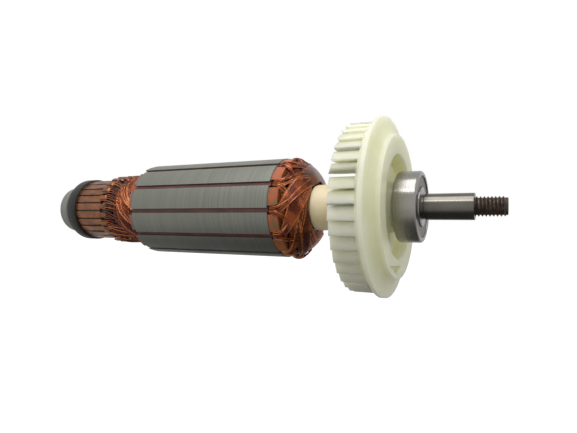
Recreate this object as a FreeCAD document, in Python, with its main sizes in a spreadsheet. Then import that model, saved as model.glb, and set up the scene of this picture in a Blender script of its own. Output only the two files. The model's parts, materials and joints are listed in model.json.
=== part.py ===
import FreeCAD, Part
import math
import os
import re
import Sketcher

# Armature of a small universal motor. Millimetres. +X runs along the shaft towards its threaded
# drive end, +Z is up, and the origin is the centre of the drive-end bearing.

Vector = FreeCAD.Vector
X_AXIS = Vector(1, 0, 0)

DIMENSIONS = {
    # Shaft, outside what sits on it
    "core_seat_radius": 5.0,
    "core_seat_tail": 6.4,
    "commutator_seat_radius": 4.5,
    "spindle_length": 14.9,
    "seat_relief_length": 0.8,
    "seat_relief_depth": 0.25,
    "thread_radius": 3.0,
    "thread_length": 8.8,
    "thread_tip_chamfer": 0.9,
    "edge_chamfer": 0.4,

    # Drive-end bearing, a common 8 x 22 x 7 ball bearing, centred on the origin
    "drive_ring_radius": 11.0,
    "drive_bore_radius": 4.0,
    "drive_width": 7.0,
    "drive_pitch_radius": 7.5,
    "drive_ball_radius": 1.95,
    "drive_inner_shoulder": 6.05,
    "drive_outer_shoulder": 9.05,

    # Rear bearing, a common 7 x 19 x 6 ball bearing
    "rear_ring_radius": 9.5,
    "rear_bore_radius": 3.5,
    "rear_width": 6.0,
    "rear_pitch_radius": 6.5,
    "rear_ball_radius": 1.7,
    "rear_inner_shoulder": 5.2,
    "rear_outer_shoulder": 7.85,

    # Details that both bearings share
    "ball_count": 7,
    "ball_clearance": 0.08,
    "shield_thickness": 0.3,
    "shield_recess": 0.35,
    "shield_seat_depth": 0.5,
    "shield_gap": 0.2,
    "cage_clearance": 0.25,
    "cage_wall": 1.1,

    # Stack of laminations with semi-closed slots
    "core_length": 57.0,
    "core_radius": 17.05,
    "core_bore_radius": 6.6,
    "slot_count": 12,
    "slot_mouth": 1.5,
    "slot_lip": 0.9,
    "slot_shoulder_radius": 15.2,
    "slot_top_width": 4.6,
    "slot_bottom_radius": 9.6,
    "slot_bottom_width": 1.9,

    # Fibre end insulators in the outline of a lamination
    "front_insulator_thickness": 3.6,
    "rear_insulator_thickness": 1.6,
    "insulator_radius": 16.8,
    "insulator_mouth": 2.9,

    # Paper liners and red fibre wedges of the slots
    "liner_thickness": 0.2,
    "liner_clearance": 0.05,
    "liner_overhang": 0.5,
    "wedge_depth": 0.95,
    "wedge_rise": 0.35,
    "wedge_clearance": 0.06,
    "wedge_overhang": 0.3,

    # Insulating sleeve between shaft and laminations
    "sleeve_length": 24.3,
    "sleeve_collar": 14.3,
    "sleeve_tail": 5.4,
    "sleeve_radius": 7.65,

    # Heads of the winding
    "front_head_length": 11.2,
    "front_head_radius": 16.0,
    "front_head_bulge": 1.1,
    "bundle_radius": 2.15,
    "bundle_foot_radius": 14.1,
    "bundle_crown_radius": 9.9,
    "bundle_crown_back": 3.9,
    "bundle_lead_in": 0.5,
    "coil_pitch_slots": 5,
    "coil_clearance": 0.05,
    "rear_head_length": 16.1,
    "rear_head_radius": 13.2,
    "rear_head_tip_radius": 12.0,
    "rear_head_round": 2.6,
    "lead_radius": 0.32,
    "lead_rise": 0.3,
    "lead_twist": 14.0,
    "lead_start_back": 2.2,

    # Commutator
    "bar_count": 24,
    "bar_setback": 21.9,
    "bar_length": 13.8,
    "bar_radius": 12.2,
    "bar_depth": 2.6,
    "bar_gap_angle": 2.8,
    "bar_root_depth": 1.5,
    "bar_root_setback": 3.2,
    "gap_undercut": 0.5,
    "hook_reach": 4.2,
    "hook_width": 1.7,
    "hook_thickness": 0.65,
    "hook_rise": 1.4,
    "hook_mouth": 0.7,
    "hub_flange_length": 4.6,
    "hub_flange_drop": 0.8,
    "hub_chamfer": 1.0,

    # Black insulating washer between commutator and rear bearing
    "washer_length": 7.1,
    "washer_flange": 6.8,
    "washer_radius": 12.75,
    "washer_cone_radius": 11.2,
    "washer_cone": 2.6,
    "washer_boss_radius": 5.1,

    # Moulded fan
    "fan_length": 13.8,
    "fan_radius": 27.1,
    "vane_count": 39,
    "vane_phase": 4.2,
    "vane_length": 7.95,
    "vane_gap": 0.95,
    "vane_lean": 22.0,
    "vane_step": 0.95,
    "vane_inner_radius": 20.4,
    "fan_drum_length": 9.2,
    "fan_flange_radius": 28.4,
    "fan_flange_thickness": 1.2,
    "fan_cone_length": 1.9,
    "fan_cone_round": 12.0,
    "fan_lip_height": 1.4,
    "fan_lip_radius": 22.4,
    "fan_lip_taper": 0.4,
    "fan_recess_radius": 16.5,
    "fan_recess_depth": 4.0,
    "fan_web_thickness": 2.6,
    "fan_hub_radius": 9.4,
    "fan_hub_height": 3.2,
    "fan_boss_radius": 5.8,
    "fan_wall_taper": 0.9,
    "balance_recess_depth": 1.2,
    "balance_recess_near": 12.1,
    "balance_recess_middle": 5.0,
    "balance_recess_far": 0.7,
    "balance_recess_level": 16.9,
    "balance_recess_fall": 1.7,
    "balance_recess_height": 3.8,
}

# Places along the shaft, each worked out from the piece that it sits against
PLACES = {
    "bearing_front": "drive_width / 2",
    "bearing_rear": "-1 * drive_width / 2",
    "spindle_front": "bearing_front + spindle_length",
    "thread_front": "spindle_front + thread_length",
    "fan_rear": "bearing_rear - fan_length",
    "sleeve_shoulder": "fan_rear - sleeve_collar",
    "core_front": "fan_rear - sleeve_length",
    "core_rear": "core_front - core_length",
    "sleeve_rear": "core_rear - sleeve_tail",
    "core_seat_rear": "core_rear - core_seat_tail",
    "front_head_tip": "core_front + front_head_length",
    "rear_head_tip": "core_rear - rear_head_length",
    "bar_front": "core_rear - bar_setback",
    "bar_rear": "bar_front - bar_length",
    "hub_front": "bar_front + hub_flange_length",
    "washer_rear": "bar_rear - washer_flange",
    "rear_bearing_front": "bar_rear - washer_length",
    "rear_bearing_middle": "rear_bearing_front - rear_width / 2",
    "rear_bearing_rear": "rear_bearing_front - rear_width",
    "vane_front": "fan_rear + vane_length",
    "fan_flange_rear": "fan_rear + fan_drum_length",
    "fan_flange_front": "fan_flange_rear + fan_flange_thickness",
    "fan_lip_foot": "fan_flange_front + fan_cone_length",
    "fan_lip_front": "fan_lip_foot + fan_lip_height",
    "fan_recess_floor": "fan_lip_front - fan_recess_depth",
    "fan_web_rear": "fan_recess_floor - fan_web_thickness",
    "fan_hub_front": "fan_recess_floor + fan_hub_height",
}

doc = FreeCAD.newDocument("motor_armature")
sizes = doc.addObject("Spreadsheet::Sheet", "sizes")
for row, (alias, number) in enumerate(DIMENSIONS.items(), start=1):
    sizes.set("A%d" % row, alias.replace("_", " "))
    sizes.set("B%d" % row, str(number))
    sizes.setAlias("B%d" % row, alias)
doc.recompute()


def named(text):
    """Turn the names of sizes and places in an expression into references to the sheet."""
    def reference(word):
        name = word.group()
        if name in PLACES:
            return "( %s )" % named(PLACES[name])
        return "sizes." + name if name in DIMENSIONS else name
    return re.sub("[a-z][a-z_]+", reference, text)


def value(text):
    """Number that an expression over the names of sizes and places stands for now."""
    return float(sizes.evalExpression(named(text)))


def piece(label):
    """New body for one physical piece, named as its node."""
    body = doc.addObject("PartDesign::Body", label)
    body.Label = label
    return body


def origin_feature(body, role):
    return next(feature for feature in body.Origin.OriginFeatures if feature.Role == role)


def outline(body, name, plane, corners, offset=None):
    """Closed outline with every corner pinned by two expressions.

    A corner is (across, up) and starts a straight edge, or (across, up, radius, side) and starts
    an arc of that radius, which bulges to the left (1) or right (-1) of its chord.
    """
    sketch = body.newObject("Sketcher::SketchObject", name)
    sketch.AttachmentSupport = (origin_feature(body, plane), "")
    sketch.MapMode = "FlatFace"
    if offset is not None:
        sketch.setExpression("AttachmentOffset.Base.z", named(offset))
    points = [Vector(value(corner[0]), value(corner[1]), 0) for corner in corners]
    ends = []
    for index, corner in enumerate(corners):
        start = points[index]
        end = points[(index + 1) % len(points)]
        if len(corner) == 2:
            sketch.addGeometry(Part.LineSegment(start, end))
            ends.append((1, 2))
        else:
            radius, side = value(corner[2]), corner[3]
            chord = end - start
            rise = math.sqrt(radius ** 2 - (chord.Length / 2) ** 2)
            left = Vector(-chord.y, chord.x, 0).normalize()
            centre = (start + end) / 2 - left * side * rise
            middle = centre + left * side * radius
            sketch.addGeometry(Part.Arc(start, middle, end))
            ends.append((2, 1) if side > 0 else (1, 2))
    for index in range(len(corners)):
        following = (index + 1) % len(corners)
        sketch.addConstraint(
            Sketcher.Constraint("Coincident", index, ends[index][1], following, ends[following][0]))
    for index, corner in enumerate(corners):
        for kind, text, start in (("DistanceX", corner[0], points[index].x),
                                  ("DistanceY", corner[1], points[index].y)):
            number = sketch.addConstraint(
                Sketcher.Constraint(kind, -1, 1, index, ends[index][0], start))
            sketch.setExpression("Constraints[%d]" % number, named(text))
        if len(corner) > 2:
            number = sketch.addConstraint(Sketcher.Constraint("Radius", index, value(corner[2])))
            sketch.setExpression("Constraints[%d]" % number, named(corner[2]))
    return sketch


def circle_sketch(body, name, plane, across, radius, offset=None):
    """One circle whose centre lies on the sketch's horizontal line or axis."""
    sketch = body.newObject("Sketcher::SketchObject", name)
    sketch.AttachmentSupport = (origin_feature(body, plane), "")
    sketch.MapMode = "FlatFace"
    if offset is not None:
        sketch.setExpression("AttachmentOffset.Base.z", named(offset))
    centre = Vector(value(across[0]), value(across[1]), 0)
    sketch.addGeometry(Part.Circle(centre, Vector(0, 0, 1), value(radius)))
    for kind, text, start in (("DistanceX", across[0], centre.x), ("DistanceY", across[1], centre.y)):
        number = sketch.addConstraint(Sketcher.Constraint(kind, -1, 1, 0, 3, start))
        sketch.setExpression("Constraints[%d]" % number, named(text))
    number = sketch.addConstraint(Sketcher.Constraint("Radius", 0, value(radius)))
    sketch.setExpression("Constraints[%d]" % number, named(radius))
    return sketch


def turn(body, sketch, angle=None):
    """Revolve a section about the shaft axis, all round or by an angle centred on its plane."""
    feature = body.newObject("PartDesign::Revolution", sketch.Name + "_turned")
    feature.Profile = sketch
    feature.ReferenceAxis = (sketch, ["H_Axis"])
    feature.Angle = 360
    if angle is not None:
        feature.Midplane = True
        feature.setExpression("Angle", named(angle))
    body.Tip = feature
    return feature


def turned_groove(body, sketch):
    feature = body.newObject("PartDesign::Groove", sketch.Name + "_groove")
    feature.Profile = sketch
    feature.ReferenceAxis = (sketch, ["H_Axis"])
    feature.Angle = 360
    body.Tip = feature
    return feature


def pad(body, sketch, length, midplane=False):
    feature = body.newObject("PartDesign::Pad", sketch.Name + "_pad")
    feature.Profile = sketch
    feature.Midplane = midplane
    feature.setExpression("Length", named(length))
    body.Tip = feature
    return feature


def pocket(body, sketch, length=None, reverse=True):
    """Cut a sketch along its normal; reverse points the cut the way the sketch faces."""
    feature = body.newObject("PartDesign::Pocket", sketch.Name + "_pocket")
    feature.Profile = sketch
    feature.Reversed = reverse
    if length is None:
        feature.Type = "ThroughAll"
    else:
        feature.setExpression("Length", named(length))
    body.Tip = feature
    return feature


def around_shaft(body, feature, count):
    """Repeat a feature evenly round the shaft."""
    pattern = body.newObject("PartDesign::PolarPattern", feature.Name + "_pattern")
    pattern.Originals = [feature]
    pattern.Axis = (origin_feature(body, "X_Axis"), [""])
    pattern.Angle = 360
    pattern.setExpression("Occurrences", named(count))
    body.Tip = pattern
    return pattern


def turn_to(body, step, count):
    """Place a copy of a piece that repeats round the shaft at its own step."""
    turned = "360 * %s / %s" % (step, count)
    body.Placement = FreeCAD.Placement(Vector(0, 0, 0), FreeCAD.Rotation(X_AXIS, value(turned)))
    if step:
        body.setExpression("Placement.Rotation.Angle", named(turned))


nodes = []


def shaft():
    """Turned steel shaft: rear journal, commutator seat, core seat, relieved spindle and thread."""
    body = piece("shaft")
    corners = [
        ("rear_bearing_rear", "0"),
        ("rear_bearing_rear", "rear_bore_radius - edge_chamfer"),
        ("rear_bearing_rear + edge_chamfer", "rear_bore_radius"),
        ("rear_bearing_front", "rear_bore_radius"),
        ("rear_bearing_front", "commutator_seat_radius"),
        ("core_seat_rear", "commutator_seat_radius"),
        ("core_seat_rear", "core_seat_radius"),
        ("bearing_rear", "core_seat_radius"),
        ("bearing_rear", "drive_bore_radius"),
        ("bearing_front", "drive_bore_radius"),
        ("bearing_front", "drive_bore_radius - seat_relief_depth"),
        ("bearing_front + seat_relief_length", "drive_bore_radius - seat_relief_depth"),
        ("bearing_front + seat_relief_length", "drive_bore_radius"),
        ("spindle_front - edge_chamfer", "drive_bore_radius"),
        ("spindle_front", "drive_bore_radius - edge_chamfer"),
        ("spindle_front", "thread_radius"),
        ("thread_front - thread_tip_chamfer", "thread_radius"),
        ("thread_front", "thread_radius - thread_tip_chamfer"),
        ("thread_front", "0"),
    ]
    turn(body, outline(body, "shaft_section", "XZ_Plane", corners))
    nodes.append(body)


def bearing(end, middle):
    """One shielded deep-groove ball bearing, as the six pieces that it is assembled from."""
    half = "%s_width / 2" % end
    ring, bore = end + "_ring_radius", end + "_bore_radius"
    inner, outer = end + "_inner_shoulder", end + "_outer_shoulder"
    ball, pitch = end + "_ball_radius", end + "_pitch_radius"
    low, high = "%s - %s" % (middle, half), "%s + %s" % (middle, half)
    seat = "shield_recess + shield_thickness"
    step = "%s + shield_seat_depth" % outer

    outer_ring = piece(end + "_bearing_outer_ring")
    turn(outer_ring, outline(outer_ring, end + "_outer_section", "XZ_Plane", [
        (low, step),
        (low, "%s - edge_chamfer" % ring),
        ("%s + edge_chamfer" % low, ring),
        ("%s - edge_chamfer" % high, ring),
        (high, "%s - edge_chamfer" % ring),
        (high, step),
        ("%s - ( %s )" % (high, seat), step),
        ("%s - ( %s )" % (high, seat), outer),
        ("%s + ( %s )" % (low, seat), outer),
        ("%s + ( %s )" % (low, seat), step),
    ]))
    inner_ring = piece(end + "_bearing_inner_ring")
    turn(inner_ring, outline(inner_ring, end + "_inner_section", "XZ_Plane", [
        (low, bore),
        (low, inner),
        (high, inner),
        (high, bore),
    ]))
    for carrier in (outer_ring, inner_ring):
        track = circle_sketch(carrier, carrier.Name + "_track", "XZ_Plane", (middle, pitch),
                              "%s + ball_clearance" % ball)
        turned_groove(carrier, track)

    cage = piece(end + "_bearing_cage")
    reach = "%s + ball_clearance + cage_clearance" % ball
    turn(cage, outline(cage, end + "_cage_section", "XZ_Plane", [
        ("%s - ( %s )" % (middle, reach), "%s - cage_wall / 2" % pitch),
        ("%s - ( %s )" % (middle, reach), "%s + cage_wall / 2" % pitch),
        ("%s + ( %s )" % (middle, reach), "%s + cage_wall / 2" % pitch),
        ("%s + ( %s )" % (middle, reach), "%s - cage_wall / 2" % pitch),
    ]))
    window = circle_sketch(cage, end + "_cage_window", "XY_Plane", (middle, "0"),
                           "%s + ball_clearance" % ball)
    around_shaft(cage, pocket(cage, window), "ball_count")

    balls = []
    for number in range(int(value("ball_count"))):
        one = doc.addObject("Part::Sphere", "%s_ball_%d" % (end, number + 1))
        one.setExpression("Radius", named(ball))
        one.setExpression("Placement.Base.x", named(middle))
        turned = "360 * %d / ball_count" % number
        one.setExpression("Placement.Base.y", named("-1 * %s * sin(%s)" % (pitch, turned)))
        one.setExpression("Placement.Base.z", named("%s * cos(%s)" % (pitch, turned)))
        balls.append(one)
    ball_set = doc.addObject("Part::Compound", end + "_bearing_balls")
    ball_set.Label = end + "_bearing_balls"
    ball_set.Links = balls

    shields = []
    for side, face, inward in (("front", high, "-"), ("rear", low, "+")):
        shield = piece("%s_bearing_%s_shield" % (end, side))
        near = "%s %s shield_recess" % (face, inward)
        far = "%s %s ( %s )" % (face, inward, seat)
        turn(shield, outline(shield, "%s_%s_shield_section" % (end, side), "XZ_Plane", [
            (near, "%s + shield_gap" % inner),
            (near, step),
            (far, step),
            (far, "%s + shield_gap" % inner),
        ]))
        shields.append(shield)
    nodes.extend([outer_ring, inner_ring, cage, ball_set] + shields)


def slot_outline(body, name, mouth, opening_radius, offset):
    """Slot of a lamination, symmetrical about its radius, open past the rim."""
    rim = opening_radius + " + 1"
    lip = "core_radius - slot_lip"
    corners = [
        ("%s / 2" % mouth, rim),
        ("%s / 2" % mouth, lip),
        ("slot_top_width / 2", "slot_shoulder_radius"),
        ("slot_bottom_width / 2", "slot_bottom_radius"),
        ("-1 * slot_bottom_width / 2", "slot_bottom_radius"),
        ("-1 * slot_top_width / 2", "slot_shoulder_radius"),
        ("-1 * %s / 2" % mouth, lip),
        ("-1 * %s / 2" % mouth, rim),
    ]
    return outline(body, name, "YZ_Plane", corners, offset)


def slotted_disc(label, start, thickness, radius, bore, mouth):
    """Disc with the slots of a lamination, as deep as the stack or sheet is thick."""
    body = piece(label)
    pad(body, circle_sketch(body, label + "_rim", "YZ_Plane", ("0", "0"), radius, start), thickness)
    pocket(body, circle_sketch(body, label + "_bore", "YZ_Plane", ("0", "0"), bore, start))
    slot = pocket(body, slot_outline(body, label + "_slot", mouth, radius, start))
    around_shaft(body, slot, "slot_count")
    nodes.append(body)


def laminations():
    """Stack of punched steel laminations, and a fibre end insulator at each face."""
    slotted_disc("core_laminations", "core_rear", "core_front - core_rear",
                 "core_radius", "core_bore_radius", "slot_mouth")
    slotted_disc("front_end_insulator", "core_front", "front_insulator_thickness",
                 "insulator_radius", "core_bore_radius", "insulator_mouth")
    slotted_disc("rear_end_insulator", "core_rear - rear_insulator_thickness",
                 "rear_insulator_thickness", "insulator_radius", "core_bore_radius", "insulator_mouth")


def slot_liners():
    """Folded paper liners, one in each slot, which stand out of both end insulators."""
    body = piece("slot_liners")
    start = "core_rear - rear_insulator_thickness - liner_overhang"
    length = ("core_front - core_rear + front_insulator_thickness + rear_insulator_thickness"
              " + 2 * liner_overhang")
    half_top = "slot_top_width / 2 - liner_clearance"
    half_bottom = "slot_bottom_width / 2 - liner_clearance"
    floor = "slot_bottom_radius + liner_clearance"
    corners = [
        (half_top, "slot_shoulder_radius"),
        (half_bottom, floor),
        ("-1 * ( %s )" % half_bottom, floor),
        ("-1 * ( %s )" % half_top, "slot_shoulder_radius"),
        ("-1 * ( %s - liner_thickness )" % half_top, "slot_shoulder_radius"),
        ("-1 * ( %s - liner_thickness )" % half_bottom, "%s + liner_thickness" % floor),
        ("%s - liner_thickness" % half_bottom, "%s + liner_thickness" % floor),
        ("%s - liner_thickness" % half_top, "slot_shoulder_radius"),
    ]
    first = pad(body, outline(body, "liner_fold", "YZ_Plane", corners, start), length)
    around_shaft(body, first, "slot_count")
    nodes.append(body)


def slot_wedges():
    """Red fibre wedge in each slot mouth, held under the tooth lips, with its rib in the mouth."""
    start = "core_rear - wedge_overhang"
    length = "core_front - core_rear + 2 * wedge_overhang"
    under_lip = "core_radius - slot_lip - wedge_clearance"
    base = "%s - wedge_depth" % under_lip
    rib = "slot_mouth / 2 - wedge_clearance"
    half_base = "slot_top_width / 2 - 6 * wedge_clearance"
    for number in range(int(value("slot_count"))):
        body = piece("slot_wedge_%02d" % (number + 1))
        corners = [
            (rib, "core_radius - slot_lip + wedge_rise"),
            (rib, under_lip),
            (half_base, base),
            ("-1 * ( %s )" % half_base, base),
            ("-1 * ( %s )" % rib, under_lip),
            ("-1 * ( %s )" % rib, "core_radius - slot_lip + wedge_rise"),
        ]
        pad(body, outline(body, "wedge_section_%02d" % (number + 1), "YZ_Plane", corners, start), length)
        turn_to(body, number, "slot_count")
        nodes.append(body)


def shaft_sleeve():
    """Moulded insulating sleeve on the shaft, stepped down where it runs through the core."""
    body = piece("shaft_sleeve")
    corners = [
        ("sleeve_rear", "core_seat_radius"),
        ("sleeve_rear", "core_bore_radius"),
        ("sleeve_shoulder", "core_bore_radius", "sleeve_radius - core_bore_radius", 1),
        ("sleeve_shoulder + sleeve_radius - core_bore_radius", "sleeve_radius"),
        ("fan_rear", "sleeve_radius"),
        ("fan_rear", "core_seat_radius"),
    ]
    turn(body, outline(body, "sleeve_section", "XZ_Plane", corners))
    nodes.append(body)


def ring_of(points):
    """Solid of revolution about the shaft from a section given as (along, radius) points."""
    wire = Part.makePolygon([Vector(along, 0, radius) for along, radius in points + points[:1]])
    return Part.Face(wire).revolve(Vector(0, 0, 0), X_AXIS, 360)


def polar(along, radius, angle):
    """Point beside the shaft, its angle counted from +Z towards -Y."""
    turned = math.radians(angle)
    return Vector(along, -radius * math.sin(turned), radius * math.cos(turned))


def wire_run(start, end, radius):
    """Straight run of a lead, as a four-sided bar."""
    along = end - start
    across = along.cross(X_AXIS).normalize() * radius
    up = along.cross(across).normalize() * radius
    corners = [start + across, start + up, start - across, start - up]
    return Part.Face(Part.makePolygon(corners + corners[:1])).extrude(along)


def coil_side(rear, front):
    """Wires of two coils that share one slot, inside its liner and under its wedge."""
    inset = value("liner_clearance + liner_thickness + coil_clearance")
    top = value("core_radius - slot_lip - wedge_clearance - wedge_depth - coil_clearance")
    floor = value("slot_bottom_radius") + inset
    half_top = value("slot_top_width") / 2 - inset
    half_floor = value("slot_bottom_width") / 2 - inset
    section = [(half_top, top), (half_floor, floor), (-half_floor, floor), (-half_top, top)]
    wire = Part.makePolygon([Vector(rear, across, up) for across, up in section + section[:1]])
    return Part.Face(wire).extrude(Vector(front - rear, 0, 0))


def band(edge, radius):
    """Six-sided bundle of wires swept along an arc."""
    circle = edge.Curve
    start = edge.valueAt(edge.FirstParameter)
    outward = (start - circle.Center).normalize()
    corners = []
    for corner in range(7):
        turned = math.radians(60 * corner + 30)
        corners.append(start + outward * radius * math.cos(turned) + circle.Axis * radius * math.sin(turned))
    sweep = math.degrees(edge.LastParameter - edge.FirstParameter)
    return Part.Face(Part.makePolygon(corners)).revolve(circle.Center, circle.Axis, sweep)


def front_head(face):
    """Drive-end head: coil ends that cross from slot to slot round the sleeve."""
    tip = value("front_head_tip")
    sleeve = value("sleeve_radius")
    core_bore = value("core_bore_radius")
    shoulder = value("sleeve_shoulder")
    foot = Vector(face, 0, value("front_head_radius"))
    nose = Vector(tip, 0, sleeve + 2 * value("coil_clearance"))
    across = (nose - foot).cross(Vector(0, 1, 0)).normalize()
    crown = (foot + nose) / 2 - across * value("front_head_bulge")
    section = Part.Wire([
        Part.makePolygon([Vector(tip, 0, sleeve), nose]).Edges[0],
        Part.Arc(nose, crown, foot).toShape(),
        Part.makePolygon([foot, Vector(face, 0, core_bore)]).Edges[0],
        Part.makePolygon([Vector(face, 0, core_bore), Vector(shoulder, 0, core_bore)]).Edges[0],
        Part.makePolygon([Vector(shoulder, 0, core_bore), Vector(shoulder, 0, sleeve)]).Edges[0],
        Part.makePolygon([Vector(shoulder, 0, sleeve), Vector(tip, 0, sleeve)]).Edges[0],
    ])
    head = Part.Face(section).revolve(Vector(0, 0, 0), X_AXIS, 360)
    slot_angle = 360 / value("slot_count")
    half_span = value("coil_pitch_slots") * slot_angle / 2
    foot_along = face + value("bundle_lead_in")
    crown_along = tip - value("bundle_crown_back")
    foot_radius = value("bundle_foot_radius")
    room = Part.makeCylinder(value("core_radius"), tip - face, Vector(face, 0, 0), X_AXIS)
    for number in range(int(value("slot_count"))):
        middle = number * slot_angle
        start = polar(foot_along, foot_radius, middle - half_span)
        top = polar(crown_along, value("bundle_crown_radius"), middle)
        end = polar(foot_along, foot_radius, middle + half_span)
        bundle = band(Part.Arc(start, top, end).toShape(), value("bundle_radius"))
        head = head.fuse(bundle.common(room))
    return head


def rear_head(face):
    """Commutator-end head, with a lead to the hook of every bar."""
    tip = value("rear_head_tip")
    outer = value("rear_head_radius")
    tip_radius = value("rear_head_tip_radius")
    rounding = value("rear_head_round")
    core_bore = value("core_bore_radius")
    sleeve_end = value("sleeve_rear")
    seat = value("core_seat_radius")
    head = ring_of([
        (face, core_bore), (face, outer - rounding / 3), (face - rounding / 2, outer),
        (tip + rounding, outer), (tip, tip_radius), (tip, seat), (sleeve_end, seat),
        (sleeve_end, core_bore),
    ])
    bar_angle = 360 / value("bar_count")
    hook_middle = value("bar_front + hook_reach / 2 + hook_mouth / 2")
    cavity = value("bar_radius + ( hook_rise - hook_thickness ) / 2")
    beside = math.degrees(value("hook_width / 2 + lead_radius + coil_clearance") / cavity)
    leads = []
    for number in range(int(value("bar_count"))):
        angle = (number + 0.5) * bar_angle
        start = polar(face - value("lead_start_back"), outer + value("lead_rise"),
                      angle + beside + value("lead_twist"))
        corner = polar(hook_middle, cavity, angle + beside)
        end = polar(hook_middle, cavity, angle - beside)
        leads.append(wire_run(start, corner, value("lead_radius")))
        leads.append(wire_run(corner, end, value("lead_radius")))
    for lead in leads:
        head = head.fuse(lead)
    return head


def armature_winding():
    """Coils of enamelled wire, as one wound and varnished piece."""
    front = value("core_front + front_insulator_thickness + liner_overhang")
    rear = value("core_rear - rear_insulator_thickness - liner_overhang")
    side = coil_side(rear, front)
    sides = []
    for number in range(int(value("slot_count"))):
        sides.append(side.rotated(Vector(0, 0, 0), X_AXIS, number * 360 / value("slot_count")))
    winding = doc.addObject("Part::Feature", "armature_winding")
    winding.Label = "armature_winding"
    shape = front_head(front)
    for part_of_winding in sides + [rear_head(rear)]:
        shape = shape.fuse(part_of_winding)
    winding.Shape = shape
    nodes.append(winding)


def commutator():
    """Moulded body of the commutator, which fills the gaps between its copper bars."""
    hub = piece("commutator_hub")
    seat = "bar_radius - bar_depth"
    root = "%s - bar_root_depth" % seat
    flare = "bar_root_depth / 2"
    dovetail = [
        ("bar_rear + bar_root_setback", seat),
        ("bar_rear + bar_root_setback - %s" % flare, root),
        ("bar_front - bar_root_setback + %s" % flare, root),
        ("bar_front - bar_root_setback", seat),
    ]
    flange = "bar_radius - hub_flange_drop"
    turn(hub, outline(hub, "hub_section", "XZ_Plane", [
        ("bar_rear", "commutator_seat_radius"),
        ("bar_rear", seat),
    ] + dovetail + [
        ("bar_front", seat),
        ("bar_front", flange),
        ("hub_front - hub_chamfer", flange),
        ("hub_front", "%s - hub_chamfer" % flange),
        ("hub_front", "commutator_seat_radius"),
    ]))
    fin = turn(hub, outline(hub, "gap_section", "XZ_Plane", [
        ("bar_rear", "%s - 0.5 * bar_root_depth" % root),
        ("bar_rear", "bar_radius - gap_undercut"),
        ("bar_front", "bar_radius - gap_undercut"),
        ("bar_front", "%s - 0.5 * bar_root_depth" % root),
    ]), "bar_gap_angle")
    around_shaft(hub, fin, "bar_count")
    nodes.append(hub)

    tip = "bar_front + hook_reach"
    top = "bar_radius + hook_rise"
    corner = "hook_thickness"
    for number in range(int(value("bar_count"))):
        bar = piece("commutator_bar_%02d" % (number + 1))
        turn(bar, outline(bar, "bar_section_%02d" % (number + 1), "XZ_Plane", [
            ("bar_rear", seat),
        ] + dovetail + [
            ("bar_front", seat),
            ("bar_front", "bar_radius"),
            ("bar_rear", "bar_radius"),
        ]), "360 / bar_count - bar_gap_angle")
        pad(bar, outline(bar, "hook_section_%02d" % (number + 1), "XZ_Plane", [
            ("bar_front - hook_thickness", "bar_radius - hook_thickness"),
            ("%s - %s" % (tip, corner), "bar_radius - hook_thickness"),
            (tip, "bar_radius - hook_thickness + %s" % corner),
            (tip, "%s - %s" % (top, corner)),
            ("%s - %s" % (tip, corner), top),
            ("bar_front + hook_mouth", top),
            ("bar_front + hook_mouth", "%s - hook_thickness" % top),
            ("%s - hook_thickness" % tip, "%s - hook_thickness" % top),
            ("%s - hook_thickness" % tip, "bar_radius"),
            ("bar_front - hook_thickness", "bar_radius"),
        ]), "hook_width", midplane=True)
        turn_to(bar, number + 0.5, "bar_count")
        nodes.append(bar)


def insulating_washer():
    """Black moulded washer between the commutator and the rear bearing."""
    body = piece("insulating_washer")
    turn(body, outline(body, "washer_section", "XZ_Plane", [
        ("rear_bearing_front", "commutator_seat_radius"),
        ("rear_bearing_front", "washer_boss_radius"),
        ("washer_rear", "washer_boss_radius"),
        ("washer_rear", "washer_cone_radius"),
        ("washer_rear + washer_cone", "washer_radius"),
        ("bar_rear", "washer_radius"),
        ("bar_rear", "commutator_seat_radius"),
    ]))
    nodes.append(body)


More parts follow.
